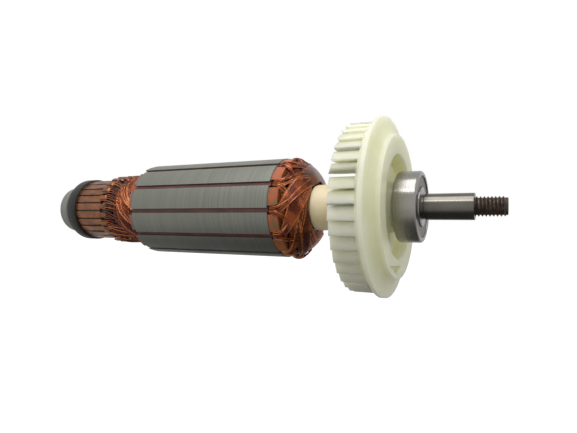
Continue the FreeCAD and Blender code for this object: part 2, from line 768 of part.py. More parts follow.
def fan():
    """Nylon fan moulded in one: hub, web, flared rim and a ring of leaning vanes."""
    body = piece("fan")
    turn(body, outline(body, "fan_section", "XZ_Plane", [
        ("fan_rear", "core_seat_radius"),
        ("fan_rear", "fan_hub_radius"),
        ("fan_web_rear", "fan_hub_radius + fan_wall_taper"),
        ("fan_web_rear", "vane_inner_radius - fan_wall_taper"),
        ("fan_rear", "vane_inner_radius"),
        ("fan_rear", "fan_radius"),
        ("( vane_front + fan_flange_rear ) / 2", "fan_radius"),
        ("fan_flange_rear", "fan_flange_radius"),
        ("fan_flange_front", "fan_flange_radius", "fan_cone_round", -1),
        ("fan_lip_foot", "fan_lip_radius + fan_lip_taper"),
        ("fan_lip_front", "fan_lip_radius"),
        ("fan_lip_front", "fan_recess_radius"),
        ("fan_recess_floor", "fan_recess_radius - fan_wall_taper"),
        ("fan_recess_floor", "fan_hub_radius - fan_wall_taper"),
        ("fan_hub_front", "fan_hub_radius - 2 * fan_wall_taper"),
        ("fan_hub_front", "fan_boss_radius"),
        ("bearing_rear", "fan_boss_radius"),
        ("bearing_rear", "core_seat_radius"),
    ]))
    half = "vane_gap / 2"
    slope = "tan(vane_lean)"
    past = "fan_radius + 1"
    foot = "vane_inner_radius - 2 * fan_wall_taper"
    low = "fan_radius - vane_step"
    next_tip = "( 360 / vane_count - vane_gap / 2 / fan_radius * 180 / pi )"
    gap = outline(body, "vane_gap_outline", "YZ_Plane", [
        ("( fan_radius - ( %s ) ) * %s + %s" % (foot, slope, half), foot),
        ("( fan_radius - ( %s ) ) * %s + %s" % (past, slope, half), past),
        ("-1 * ( %s ) * sin(%s)" % (past, next_tip), "( %s ) * cos(%s)" % (past, next_tip)),
        ("-1 * fan_radius * sin(%s)" % next_tip, "fan_radius * cos(%s)" % next_tip),
        ("( fan_radius - ( %s ) ) * %s - %s" % (low, slope, half), low),
        ("( fan_radius - ( %s ) ) * %s - %s" % (foot, slope, half), foot),
    ], "fan_rear")
    gap.AttachmentOffset = FreeCAD.Placement(
        gap.AttachmentOffset.Base, FreeCAD.Rotation(Vector(0, 0, 1), value("vane_phase")))
    gap.setExpression("AttachmentOffset.Rotation.Angle", named("vane_phase"))
    around_shaft(body, pocket(body, gap, "vane_front - fan_rear"), "vane_count")
    recess = outline(body, "balance_recess", "YZ_Plane", [
        ("-1 * balance_recess_near", "-1 * balance_recess_level"),
        ("balance_recess_far", "-1 * ( balance_recess_level + balance_recess_fall )"),
        ("-1 * balance_recess_middle", "-1 * ( balance_recess_level + balance_recess_height )"),
    ], "fan_lip_front")
    pocket(body, recess, "balance_recess_depth", reverse=False)
    nodes.append(body)


def check_and_write():
    """Stop on any failed object or bad solid, and write one file for each piece."""
    doc.recompute()
    for item in doc.Objects:
        if "Invalid" in item.State or "Error" in item.State:
            raise RuntimeError("%s failed: %s" % (item.Name, item.State))
    for node in nodes:
        if node.Shape.isNull() or not node.Shape.isValid():
            raise RuntimeError("%s has no valid shape" % node.Label)
    os.makedirs("parts", exist_ok=True)
    for node in nodes:
        node.Shape.exportStep("parts/%s.step" % node.Label)


shaft()
bearing("drive", "0")
bearing("rear", "rear_bearing_middle")
laminations()
slot_liners()
slot_wedges()
shaft_sleeve()
armature_winding()
commutator()
insulating_washer()
fan()
check_and_write()
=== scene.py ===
import bpy
import json
import math
import random
from mathutils import Matrix, Vector

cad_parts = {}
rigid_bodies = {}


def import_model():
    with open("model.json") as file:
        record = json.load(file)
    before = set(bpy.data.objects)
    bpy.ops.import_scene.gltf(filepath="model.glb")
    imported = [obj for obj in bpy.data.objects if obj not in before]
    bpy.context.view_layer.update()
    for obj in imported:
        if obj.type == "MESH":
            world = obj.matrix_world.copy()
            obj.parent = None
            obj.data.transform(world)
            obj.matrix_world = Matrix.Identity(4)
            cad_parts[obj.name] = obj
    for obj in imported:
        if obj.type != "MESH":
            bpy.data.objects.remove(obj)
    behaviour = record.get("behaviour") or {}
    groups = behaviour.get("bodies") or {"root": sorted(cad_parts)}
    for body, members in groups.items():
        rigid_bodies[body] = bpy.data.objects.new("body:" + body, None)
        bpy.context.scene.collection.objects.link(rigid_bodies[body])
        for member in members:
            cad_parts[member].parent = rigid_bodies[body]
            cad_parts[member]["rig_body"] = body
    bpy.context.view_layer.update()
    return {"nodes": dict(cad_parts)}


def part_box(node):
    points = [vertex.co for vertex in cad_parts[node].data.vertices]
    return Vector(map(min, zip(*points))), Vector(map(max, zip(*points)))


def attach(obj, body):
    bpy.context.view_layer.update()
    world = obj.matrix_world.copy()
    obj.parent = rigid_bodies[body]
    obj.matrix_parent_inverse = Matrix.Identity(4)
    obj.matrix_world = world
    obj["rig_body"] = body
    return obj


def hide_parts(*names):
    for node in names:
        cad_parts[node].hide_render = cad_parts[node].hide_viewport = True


# Wound armature of a small universal motor, seen from its threaded end. Lengths are in
# millimetres times MM, +X runs along the shaft towards the thread, and +Z is up.
for leftover in list(bpy.data.objects):
    bpy.data.objects.remove(leftover)
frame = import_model()
nodes = frame["nodes"]
MM = 0.001
chance = random.Random(24)


# Shaft. One bar of ground steel, turned down for each seat and threaded at its tip.
# The seats are bright with fine grinding marks round them; the thread is oiled and darker.
REAR_SEAT_RADIUS = 3.5
COMMUTATOR_SEAT_RADIUS = 4.5
CORE_SEAT_RADIUS = 5.0
CORE_SEAT_LEAD = 1
BEARING_SEAT_RADIUS = 4.0
RELIEF_RADIUS = 3.75
RELIEF_WIDTH = 0.8
THREAD_RADIUS = 3.0
THREAD_LENGTH = 8.8
THREAD_PITCH = 1.0
THREAD_DEPTH = 0.5
THREAD_HALF_FOOT = 0.44 * THREAD_PITCH
THREAD_ROOT_SINK = 0.15
THREAD_OVERLAP = 0.02
THREAD_SETBACK = 0.05
THREAD_CHAMFER = 0.9
THREAD_STEPS = 48
SHAFT_ROUNDING = 0.12
WELD = 0.0005
CUT_TOLERANCE = 0.001
GENTLE_EDGE = 35
RIDGE_EDGE = 25


def linear(hex_colour):
    """Linear colour of an sRGB hex value."""
    parts = [int(hex_colour[at:at + 2], 16) / 255 for at in (1, 3, 5)]
    return [part / 12.92 if part <= 0.04045 else ((part + 0.055) / 1.055) ** 2.4
            for part in parts] + [1.0]


def add(tree, kind, inputs=(), **settings):
    """Add a node with its settings; an input is a number, a colour or the socket that feeds it."""
    node = tree.nodes.new(kind)
    for name, value in settings.items():
        setattr(node, name, value)
    for name, value in dict(inputs).items():
        if isinstance(value, bpy.types.NodeSocket):
            tree.links.new(value, node.inputs[name])
        else:
            node.inputs[name].default_value = value
    return node


def material(name, metallic=0.0, roughness=0.5, **inputs):
    """New material with its constants set on the shader; gives material, tree and shader."""
    made = bpy.data.materials.new(name)
    made.use_nodes = True
    shader = made.node_tree.nodes["Principled BSDF"]
    shader.inputs["Metallic"].default_value = metallic
    shader.inputs["Roughness"].default_value = roughness
    for socket, value in inputs.items():
        shader.inputs[socket.replace("_", " ")].default_value = value
    return made, made.node_tree, shader


def grain(tree, along, across, detail=2.0):
    """Noise whose marks are so many millimetres long along the shaft and across it."""
    place = add(tree, "ShaderNodeTexCoord").outputs["Object"]
    stretch = (1 / (along * MM), 1 / (across * MM), 1 / (across * MM))
    scaled = add(tree, "ShaderNodeMapping", {"Vector": place, "Scale": stretch})
    noise = add(tree, "ShaderNodeTexNoise", {"Vector": scaled.outputs[0], "Scale": 1.0, "Detail": detail})
    return noise.outputs["Fac"]


def between(tree, share, low, high, start=0.35, end=0.65):
    """Blend of two colours, or two numbers, as share goes from start to end."""
    spread = add(tree, "ShaderNodeMapRange", {"Value": share, "From Min": start, "From Max": end})
    if isinstance(low, (str, bpy.types.NodeSocket)):
        low = linear(low) if isinstance(low, str) else low
        high = linear(high) if isinstance(high, str) else high
        blend = add(tree, "ShaderNodeMix", {0: spread.outputs[0], 6: low, 7: high}, data_type="RGBA")
        return blend.outputs[2]
    spread.inputs["To Min"].default_value = low
    spread.inputs["To Max"].default_value = high
    return spread.outputs[0]


def relief(tree, shader, height, depth):
    """Bump of so many millimetres on the shader's normal."""
    bump = add(tree, "ShaderNodeBump", {"Height": height, "Distance": depth * MM, "Strength": 1.0})
    tree.links.new(bump.outputs[0], shader.inputs["Normal"])


def feed(tree, shader, **sockets):
    """Link outputs to the shader's inputs of these names."""
    for name, socket in sockets.items():
        tree.links.new(socket, shader.inputs[name.replace("_", " ")])


def only(*objects):
    """Select these objects alone and make the first of them active."""
    bpy.ops.object.select_all(action="DESELECT")
    for item in objects:
        item.select_set(True)
    bpy.context.view_layer.objects.active = objects[0]


def edit(piece, *steps):
    """Run edit-mode steps on the whole mesh of a piece."""
    only(piece)
    bpy.ops.object.mode_set(mode="EDIT")
    bpy.ops.mesh.select_mode(type="VERT")
    bpy.ops.mesh.select_all(action="SELECT")
    for step in steps:
        step()
    bpy.ops.object.mode_set(mode="OBJECT")


def tidy(piece, smooth=GENTLE_EDGE):
    """Merge doubles, turn the faces outwards and smooth across the gentle edges."""
    edit(piece,
         lambda: bpy.ops.mesh.remove_doubles(threshold=WELD * MM),
         lambda: bpy.ops.mesh.normals_make_consistent(inside=False))
    bpy.ops.object.shade_smooth_by_angle(angle=math.radians(smooth))


def apply(piece, kind, **settings):
    """Add a modifier with its settings and apply it."""
    only(piece)
    modifier = piece.modifiers.new(kind.lower(), kind)
    for name, value in settings.items():
        setattr(modifier, name, value)
    bpy.ops.object.modifier_apply(modifier=modifier.name)


def round_edges(piece, rounding, sharp=30):
    """Round the edges at which the surface turns by more than so many degrees."""
    apply(piece, "BEVEL", width=rounding * MM, segments=2, limit_method="ANGLE",
          angle_limit=math.radians(sharp), use_clamp_overlap=True)


def turned(name, corners, rounding=0.0, steps=120):
    """Turn a section, given as (along, radius) corners in millimetres, round the shaft."""
    bpy.ops.object.select_all(action="DESELECT")
    bpy.ops.mesh.primitive_plane_add(size=MM)
    piece = bpy.context.object
    piece.name = name
    along, radius = corners[0]
    edit(piece,
         lambda: bpy.ops.mesh.merge(type="CENTER"),
         lambda: bpy.ops.transform.translate(value=(along * MM, 0, radius * MM)))
    only(piece)
    bpy.ops.object.mode_set(mode="EDIT")
    bpy.ops.mesh.select_all(action="SELECT")
    for (old_along, old_radius), (new_along, new_radius) in zip(corners, corners[1:]):
        step = ((new_along - old_along) * MM, 0, (new_radius - old_radius) * MM)
        bpy.ops.mesh.extrude_region_move(TRANSFORM_OT_translate={"value": step})
    bpy.ops.mesh.select_all(action="SELECT")
    bpy.ops.mesh.spin(steps=steps, angle=math.tau, center=(0, 0, 0), axis=(1, 0, 0))
    bpy.ops.object.mode_set(mode="OBJECT")
    tidy(piece)
    if rounding:
        round_edges(piece, rounding)
        bpy.ops.object.shade_smooth_by_angle(angle=math.radians(GENTLE_EDGE))
    return piece


def finish_as(piece, finish, *names):
    """Give a new piece its material and let it stand for CAD nodes."""
    piece.data.materials.clear()
    piece.data.materials.append(finish)
    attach(piece, nodes[names[0]]["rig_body"])
    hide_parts(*names)


def ends(name):
    """Where a CAD node starts and ends along the shaft, in millimetres."""
    low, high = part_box(name)
    return low.x / MM, high.x / MM


shaft_rear, thread_end = ends("shaft")
bearing_rear, bearing_front = ends("drive_bearing_outer_ring")
washer_rear = ends("insulating_washer")[0]
sleeve_rear = ends("shaft_sleeve")[0]
core_seat_rear = sleeve_rear - CORE_SEAT_LEAD
relief_front = bearing_front + RELIEF_WIDTH
spindle_end = thread_end - THREAD_LENGTH
thread_root = THREAD_RADIUS - THREAD_DEPTH
shaft = turned("shaft_turned", [
    (shaft_rear, 0), (shaft_rear, REAR_SEAT_RADIUS),
    (washer_rear, REAR_SEAT_RADIUS), (washer_rear, COMMUTATOR_SEAT_RADIUS),
    (core_seat_rear, COMMUTATOR_SEAT_RADIUS), (core_seat_rear, CORE_SEAT_RADIUS),
    (bearing_rear, CORE_SEAT_RADIUS), (bearing_rear, BEARING_SEAT_RADIUS),
    (bearing_front, BEARING_SEAT_RADIUS), (bearing_front, RELIEF_RADIUS),
    (relief_front, RELIEF_RADIUS), (relief_front, BEARING_SEAT_RADIUS),
    (spindle_end, BEARING_SEAT_RADIUS), (spindle_end, thread_root),
    (thread_end, thread_root), (thread_end, 0),
], rounding=SHAFT_ROUNDING)

# The thread is one ridge wound round the tip, cut off at both ends and lowered to the chamfer.
bpy.ops.object.select_all(action="DESELECT")
bpy.ops.mesh.primitive_circle_add(vertices=3, radius=MM, fill_type="NOTHING")
ridge = bpy.context.object
ridge.name = "thread_ridge"
ridge_start = spindle_end - THREAD_PITCH / 2
ridge_section = ((-THREAD_HALF_FOOT, -THREAD_ROOT_SINK), (0.0, THREAD_DEPTH),
                 (THREAD_HALF_FOOT, -THREAD_ROOT_SINK))
for point, (along, radius) in zip(ridge.data.vertices, ridge_section):
    point.co = Vector(((ridge_start + along) * MM, 0, (thread_root + radius) * MM))
turns = math.ceil(THREAD_LENGTH / THREAD_PITCH) + 1
apply(ridge, "SCREW", axis="X", angle=math.tau, screw_offset=THREAD_PITCH * MM, iterations=turns,
      steps=THREAD_STEPS, render_steps=THREAD_STEPS)
edit(ridge,
     lambda: bpy.ops.mesh.select_all(action="DESELECT"),
     lambda: bpy.ops.mesh.select_mode(type="EDGE"),
     lambda: bpy.ops.mesh.select_non_manifold(),
     lambda: bpy.ops.mesh.edge_face_add())
tidy(ridge)
for place, outwards in ((spindle_end - THREAD_OVERLAP, -1), (thread_end - THREAD_SETBACK, 1)):
    edit(ridge, lambda: bpy.ops.mesh.bisect(
        plane_co=(place * MM, 0, 0), plane_no=(outwards, 0, 0), use_fill=True, clear_outer=True,
        threshold=CUT_TOLERANCE * MM))
for point in ridge.data.vertices:
    into_chamfer = point.co.x / MM - (thread_end - THREAD_CHAMFER)
    allowed = (THREAD_RADIUS - max(0.0, into_chamfer)) * MM
    reach = math.hypot(point.co.y, point.co.z)
    if reach > allowed:
        point.co.y *= allowed / reach
        point.co.z *= allowed / reach
tidy(ridge, smooth=RIDGE_EDGE)

ground_steel, tree, shader = material("ground_steel", metallic=1.0, roughness=0.26, Anisotropic=0.7,
                                      Anisotropic_Rotation=0.25)
marks = grain(tree, 0.16, 60.0)
tarnish = grain(tree, 9.0, 4.0)
feed(tree, shader, Base_Color=between(tree, tarnish, "#6d6963", "#7b7770"),
     Roughness=between(tree, marks, 0.23, 0.28),
     Tangent=add(tree, "ShaderNodeTangent", direction_type="RADIAL", axis="X").outputs[0])
relief(tree, shader, marks, 0.001)

oiled_thread, tree, shader = material("oiled_thread_steel", metallic=0.3, roughness=0.6)
grime = grain(tree, 1.0, 1.0, 4.0)
feed(tree, shader, Base_Color=between(tree, grime, "#342922", "#5a493f"),
     Roughness=between(tree, grime, 0.6, 0.4))
finish_as(shaft, ground_steel, "shaft")
shaft.data.materials.append(oiled_thread)
for face in shaft.data.polygons:
    face.material_index = int(face.center.x > (spindle_end + SHAFT_ROUNDING) * MM)
ridge.data.materials.append(oiled_thread)
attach(ridge, "rotor")


# Ball bearings. Hardened chrome steel, the rings ground bright, with pressed steel shields and
# nylon cages; they are pressed on the shaft's seats. Grinding leaves fine lines round the
# rings, and the rear outer ring has gone dull.
OUTER_RING_EDGE = 0.18
INNER_RING_EDGE = 0.12
CAD_WELD = 0.001
CAD_SHARP = 32
FLAT_WITHIN = 0.5


def refinish(finish, *names):
    """Give CAD nodes a finish in place of their plain one."""
    for name in names:
        nodes[name].data.materials.clear()
        nodes[name].data.materials.append(finish)


def softened(name, finish, rounding):
    """Show a copy of a CAD node in its place, with its triangles joined and its edges rounded."""
    piece = bpy.data.objects.new(name + "_softened", nodes[name].data.copy())
    bpy.context.scene.collection.objects.link(piece)
    edit(piece,
         lambda: bpy.ops.mesh.customdata_custom_splitnormals_clear(),
         lambda: bpy.ops.mesh.remove_doubles(threshold=CAD_WELD * MM),
         lambda: bpy.ops.mesh.dissolve_limited(angle_limit=math.radians(FLAT_WITHIN)))
    round_edges(piece, rounding, sharp=CAD_SHARP)
    tidy(piece)
    finish_as(piece, finish, name)


bearing_steel, tree, shader = material("ground_bearing_steel", metallic=1.0, roughness=0.28,
                                       Anisotropic=0.8, Anisotropic_Rotation=0.25)
lines = grain(tree, 0.12, 80.0)
haze = grain(tree, 9.0, 5.0)
feed(tree, shader, Base_Color=between(tree, haze, "#9b9893", "#a8a5a0"),
     Roughness=between(tree, lines, 0.24, 0.34),
     Tangent=add(tree, "ShaderNodeTangent", direction_type="RADIAL", axis="X").outputs[0])
relief(tree, shader, lines, 0.001)
shield_steel, tree, shader = material("pressed_shield_steel", metallic=1.0, roughness=0.4)
haze = grain(tree, 1.5, 1.5, 4.0)
feed(tree, shader, Base_Color=between(tree, haze, "#76746f", "#94928b"),
     Roughness=between(tree, haze, 0.34, 0.46))
dull_steel, tree, shader = material("dull_ring_steel", metallic=0.7, roughness=0.38)
lines = grain(tree, 0.5, 80.0)
feed(tree, shader, Base_Color=between(tree, lines, "#85867e", "#9b9c94"),
     Roughness=between(tree, lines, 0.32, 0.44))
relief(tree, shader, lines, 0.006)
cage_nylon, tree, shader = material("moulded_cage_nylon", roughness=0.45)
feed(tree, shader, Base_Color=between(tree, grain(tree, 2.0, 2.0), "#b9b294", "#cfc9ae"))

softened("drive_bearing_outer_ring", bearing_steel, OUTER_RING_EDGE)
softened("drive_bearing_inner_ring", bearing_steel, INNER_RING_EDGE)
softened("rear_bearing_outer_ring", dull_steel, OUTER_RING_EDGE)
refinish(bearing_steel, "rear_bearing_inner_ring", "drive_bearing_balls", "rear_bearing_balls")
refinish(shield_steel, "drive_bearing_front_shield", "drive_bearing_rear_shield",
         "rear_bearing_front_shield", "rear_bearing_rear_shield")
refinish(cage_nylon, "drive_bearing_cage", "rear_bearing_cage")


# Sleeve. Ivory thermoset moulded on the shaft, which keeps the winding and the core off it.
# It has the soft gloss of a moulding, a little yellowed.
IVORY_GLOW = (2.0, 1.5, 1.0)
sleeve_plastic, tree, shader = material("moulded_ivory_thermoset", roughness=0.36,
                                        Subsurface_Weight=0.1, Subsurface_Scale=1.0,
                                        Subsurface_Radius=[depth * MM for depth in IVORY_GLOW])
yellowing = grain(tree, 6.0, 9.0)
feed(tree, shader, Base_Color=between(tree, yellowing, "#e8d6ab", "#f3e4c0"))
relief(tree, shader, grain(tree, 0.6, 0.6), 0.01)
refinish(sleeve_plastic, "shaft_sleeve")


# Core. Punched silicon steel laminations pressed into a stack, under a thin clear varnish.
# Every lamination shows as a fine line round the core; here the lines are 0.7 mm apart, since
# the real 0.5 mm is too fine to show.
LAMINATION = 0.7
BANDS_PER_UNIT = 20 / math.tau
core_steel, tree, shader = material("varnished_laminations", metallic=0.85, roughness=0.42,
                                    Coat_Weight=0.1, Coat_Roughness=0.3)
place = add(tree, "ShaderNodeTexCoord").outputs["Object"]
stripes = add(tree, "ShaderNodeTexWave", {
    "Vector": place, "Scale": 1 / (LAMINATION * MM) / BANDS_PER_UNIT, "Distortion": 0.0,
}, wave_type="BANDS", bands_direction="X").outputs["Fac"]
shades = grain(tree, 0.5, 40.0, 3.0)
patches = grain(tree, 14.0, 12.0, 3.0)
tone = between(tree, shades, "#878980", "#919389")
lined = add(tree, "ShaderNodeMix", {
    0: between(tree, stripes, 0.0, 0.14, 0.5, 1.0), 6: tone, 7: linear("#5d5e56"),
}, data_type="RGBA").outputs[2]
feed(tree, shader, Base_Color=lined, Roughness=between(tree, patches, 0.4, 0.5))
relief(tree, shader, stripes, 0.012)
refinish(core_steel, "core_laminations")


# End insulators. Vulcanised fibre punched in the outline of a lamination and soaked in varnish.
# The soft sheet goes from tan to orange where the varnish gathers; the rear one is greyer.
fibre, tree, shader = material("varnished_fibre", roughness=0.42,
                               Coat_Weight=0.35, Coat_Roughness=0.25)
soak = grain(tree, 2.6, 3.2, 4.0)
feed(tree, shader, Base_Color=between(tree, soak, "#7d5a30", "#b3562b", 0.4, 0.6))
relief(tree, shader, grain(tree, 0.5, 0.5, 4.0), 0.05)
refinish(fibre, "front_end_insulator")
grey_fibre, tree, shader = material("varnished_grey_fibre", roughness=0.45,
                                    Coat_Weight=0.3, Coat_Roughness=0.3)
soak = grain(tree, 1.6, 3.0, 4.0)
feed(tree, shader, Base_Color=between(tree, soak, "#6f625a", "#8f5f50", 0.42, 0.6))
relief(tree, shader, grain(tree, 0.5, 0.5, 4.0), 0.05)
refinish(grey_fibre, "rear_end_insulator")


# Slot wedges and liners. The wedges are strips of dark red fibre pushed in under the tooth
# lips; the liners are folded slot paper, browned by the varnish.
SLOTS = 12
wedge_fibre, tree, shader = material("red_wedge_fibre", roughness=0.5,
                                     Coat_Weight=0.2, Coat_Roughness=0.35)
streaks = grain(tree, 6.0, 0.6, 3.0)
feed(tree, shader, Base_Color=between(tree, streaks, "#4a2422", "#6e3632"))
relief(tree, shader, streaks, 0.03)
refinish(wedge_fibre, *["slot_wedge_%02d" % number for number in range(1, SLOTS + 1)])
slot_paper, tree, shader = material("varnished_slot_paper", roughness=0.5,
                                    Coat_Weight=0.3, Coat_Roughness=0.3)
feed(tree, shader, Base_Color=between(tree, grain(tree, 1.0, 1.5, 4.0), "#8a6a58", "#b08f80"))
refinish(slot_paper, "slot_liners")


# Winding. Twelve coils of enamelled copper wire, wound from slot to slot round the sleeve at
# the drive end and round the shaft at the commutator end, then soaked in varnish. Each coil
# lies over the one before it. The wires are 0.38 mm thick and made as smooth curves.
WIRE_RADIUS = 0.19
COILS = SLOTS
HALF_SPAN = 75.0
HALF_KNOTS = 7
STRAND_SCATTER = 0.04
COIL_SCATTER = 0.3
STRANDS_WITH_PAINTED_GLINT = 0.3
CROWN_BOW = 1.9
INTO_SLOT = ((3.4, 1.6), (1.6, 0.3))
HEAD_STEPS = 72
varnished_copper, tree, shader = material("varnished_enamelled_copper", metallic=0.85,
                                          roughness=0.28, Coat_Weight=0.9, Coat_Roughness=0.1,
                                          Coat_Tint=linear("#e0a070"))
shades = grain(tree, 5.0, 5.0)
feed(tree, shader, Base_Color=between(tree, shades, "#7c3f20", "#bd7c44", 0.45, 0.6),
     Roughness=between(tree, grain(tree, 0.9, 0.9), 0.16, 0.3))
# Paler copper for some strands chosen at random: partly their own differing tone, partly a painted glint.
copper_with_painted_glint, tree, shader = material("enamelled_copper_with_painted_glint", metallic=0.9, roughness=0.2,
                                       Coat_Weight=1.0, Coat_Roughness=0.06, Coat_Tint=linear("#f0c090"))
feed(tree, shader, Base_Color=between(tree, grain(tree, 2.0, 2.0), "#c68248", "#f2c28c"))
# Near-black varnish body: painted shade that shows in the gaps between the wires.
varnish_body_with_painted_shade, tree, shader = material("winding_varnish_with_painted_shade", roughness=0.35,
                                      Coat_Weight=0.5, Coat_Roughness=0.2)
feed(tree, shader, Base_Color=between(tree, grain(tree, 1.5, 1.5, 3.0), "#1d0d07", "#40200f"))
varnish_skin, tree, shader = material("varnished_winding_paper", roughness=0.3,
                                      Coat_Weight=0.5, Coat_Roughness=0.15)
feed(tree, shader, Base_Color=between(tree, grain(tree, 2.5, 2.5, 3.0), "#52302a", "#7c4c3e"))
relief(tree, shader, grain(tree, 1.4, 1.4, 3.0), 0.12)


def round_shaft(along, radius, angle):
    """Point beside the shaft, its angle counted from +Z towards -Y."""
    turn = math.radians(angle)
    return Vector((along, -radius * math.sin(turn), radius * math.cos(turn))) * MM


def wires(name, routes, radius):
    """One mesh of round wires, each along a smooth curve through its route."""
    line = bpy.data.curves.new(name, "CURVE")
    line.dimensions = "3D"
    line.bevel_depth = radius * MM
    line.bevel_resolution = 1
    line.resolution_u = 2
    line.use_fill_caps = True
    for finish in (varnished_copper, copper_with_painted_glint):
        line.materials.append(finish)
    for route in routes:
        spline = line.splines.new("NURBS")
        spline.points.add(len(route) - 1)
        for knot, point in zip(spline.points, route):
            knot.co = (*point, 1)
        spline.order_u = 4
        spline.use_endpoint_u = True
        spline.use_smooth = True
        # Strands picked at random get the paler copper with its painted glint.
        spline.material_index = int(chance.random() < STRANDS_WITH_PAINTED_GLINT)
    bundle = bpy.data.objects.new(name, line)
    bpy.context.scene.collection.objects.link(bundle)
    only(bundle)
    bpy.ops.object.convert(target="MESH")
    return bpy.context.object


def dome(share, lift, section):
    """Place on the head's section, from its foot (0) to its tip (1), lifted off it a little."""
    foot, shoulder, tip = section
    rest = 1 - share
    along = rest * rest * foot[0] + 2 * rest * share * shoulder[0] + share * share * tip[0]
    radius = rest * rest * foot[1] + 2 * rest * share * shoulder[1] + share * share * tip[1]
    slope_along = 2 * rest * (shoulder[0] - foot[0]) + 2 * share * (tip[0] - shoulder[0])
    slope_radius = 2 * rest * (shoulder[1] - foot[1]) + 2 * share * (tip[1] - shoulder[1])
    length = math.hypot(slope_along, slope_radius)
    side = 1 if tip[0] > foot[0] else -1
    return along - side * lift * slope_radius / length, radius + side * lift * slope_along / length


def coil_end(middle, half, crown, lift, tilt, section):
    """Route of one wire out of its slot, over the head and into the slot five further on."""
    foot = section[0]
    out = 1 if section[2][0] > foot[0] else -1
    route = []
    for knot in range(2 * HALF_KNOTS + 1):
        way = knot / HALF_KNOTS - 1
        along, radius = dome(crown * (1 - abs(way) ** CROWN_BOW), lift + tilt * way, section)
        route.append(round_shaft(along, radius, middle + half * way))
    inside = [(foot[0] - out * depth, foot[1] - drop) for depth, drop in INTO_SLOT]
    return ([round_shaft(*place, middle - half) for place in inside] + route
            + [round_shaft(*place, middle + half) for place in reversed(inside)])


def coils(strands, low_crown, high_crown, lift, tilt, section, spread):
    """Routes of one coil per slot, its strands side by side and each coil over the one before."""
    routes = []
    for coil in range(COILS):
        heap = chance.uniform(-COIL_SCATTER, COIL_SCATTER)
        for strand in range(strands):
            share = strand / (strands - 1)
            routes.append(coil_end(
                (coil + 0.5) * 360 / COILS, HALF_SPAN + (share - 0.5) * 2 * spread,
                low_crown + (high_crown - low_crown) * share,
                lift + heap + chance.uniform(-STRAND_SCATTER, STRAND_SCATTER), tilt, section))
    return routes


# A head's section is given by its foot, shoulder and tip, each as (along, radius).
front_face = ends("front_end_insulator")[1]
rear_face = ends("rear_end_insulator")[0]
FRONT_HEAD = ((front_face + 0.3, 16.55), (front_face + 6.6, 13.8), (front_face + 7.6, 8.3))
front_routes = coils(strands=12, low_crown=0.38, high_crown=1.0, lift=-1.1, tilt=1.05,
                     section=FRONT_HEAD, spread=5.2)

# The coil sides swell out of every slot mouth before they bend away over the head.
MOUTH_STRANDS = 7
MOUTH_PITCH = 1.55
MOUTH_FULLNESS = (0.7, 1.7)
MOUTH_ARCH = 11
MOUTH_BEND = 3.0
BEND_SCATTER = 1
for slot in range(COILS):
    middle = slot * 360 / COILS
    fullness = chance.uniform(*MOUTH_FULLNESS)
    for strand in range(MOUTH_STRANDS):
        beside = (strand - MOUTH_STRANDS // 2) * MOUTH_PITCH
        swell = fullness * math.cos(math.radians(beside * MOUTH_ARCH))
        bend = MOUTH_BEND * math.copysign(1, beside) + chance.uniform(-BEND_SCATTER, BEND_SCATTER)
        front_routes.append([
            round_shaft(front_face - 4.6, 14.6, middle + beside * 0.8),
            round_shaft(front_face - 3.2, 15.5 + swell, middle + beside * 0.9),
            round_shaft(front_face - 1.6, 16.1 + swell, middle + beside),
            round_shaft(front_face + 0.2, 16.15 + swell, middle + beside * 1.1),
            round_shaft(front_face + 1.6, 15.3 + swell, middle + beside * 1.3 + bend),
            round_shaft(front_face + 2.8, 13.6 + swell, middle + beside * 1.4 + 3 * bend),
        ])
front_wires = wires("winding_front_wires", front_routes, WIRE_RADIUS)

# Under the wires the varnish has set to a solid body. It is near black all over, a painted shade for the
# gaps between the wires, the only place where it shows.
CORE_BORE = 6.7
front_core = turned("winding_front_core", [
    (front_face, CORE_BORE), (front_face, 13.6), (front_face + 1.4, 13.9), (front_face + 3.6, 12.3),
    (front_face + 5.2, 10.4), (front_face + 6.0, 8.4), (front_face + 6.0, 7.7),
    (front_face + 5.8, 7.7), (front_face + 5.8, CORE_BORE), (front_face, CORE_BORE),
], steps=HEAD_STEPS)

# A sheet of insulating paper, browned and stiff with varnish, lies over the upper coils.
PAPER_FROM, PAPER_TO = -100.0, 28.0
PAPER_FADE = 22
PAPER_SINK = 1.3
PAPER_LIFT = 0.1
PAPER_THICKNESS = 0.25
PAPER_FOOT, PAPER_REACH = 0.34, 0.64
PAPER_WAVE, PAPER_WAVES = 0.03, 23
PAPER_EDGE = 60
bpy.ops.object.select_all(action="DESELECT")
bpy.ops.mesh.primitive_grid_add(x_subdivisions=60, y_subdivisions=16, size=2)
paper = bpy.context.object
paper.name = "winding_paper"
for point in paper.data.vertices:
    around, up = (point.co.x + 1) / 2, (point.co.y + 1) / 2
    edge = min(around, 1 - around) * (PAPER_TO - PAPER_FROM) / PAPER_FADE
    sink = PAPER_SINK * max(0.0, 1 - edge) ** 2
    share = PAPER_FOOT + PAPER_REACH * up + PAPER_WAVE * math.sin(around * PAPER_WAVES)
    along, radius = dome(share, PAPER_LIFT - sink, FRONT_HEAD)
    point.co = round_shaft(along, radius, PAPER_FROM + (PAPER_TO - PAPER_FROM) * around)
apply(paper, "SOLIDIFY", thickness=PAPER_THICKNESS * MM, offset=-1.0)
tidy(paper, smooth=PAPER_EDGE)

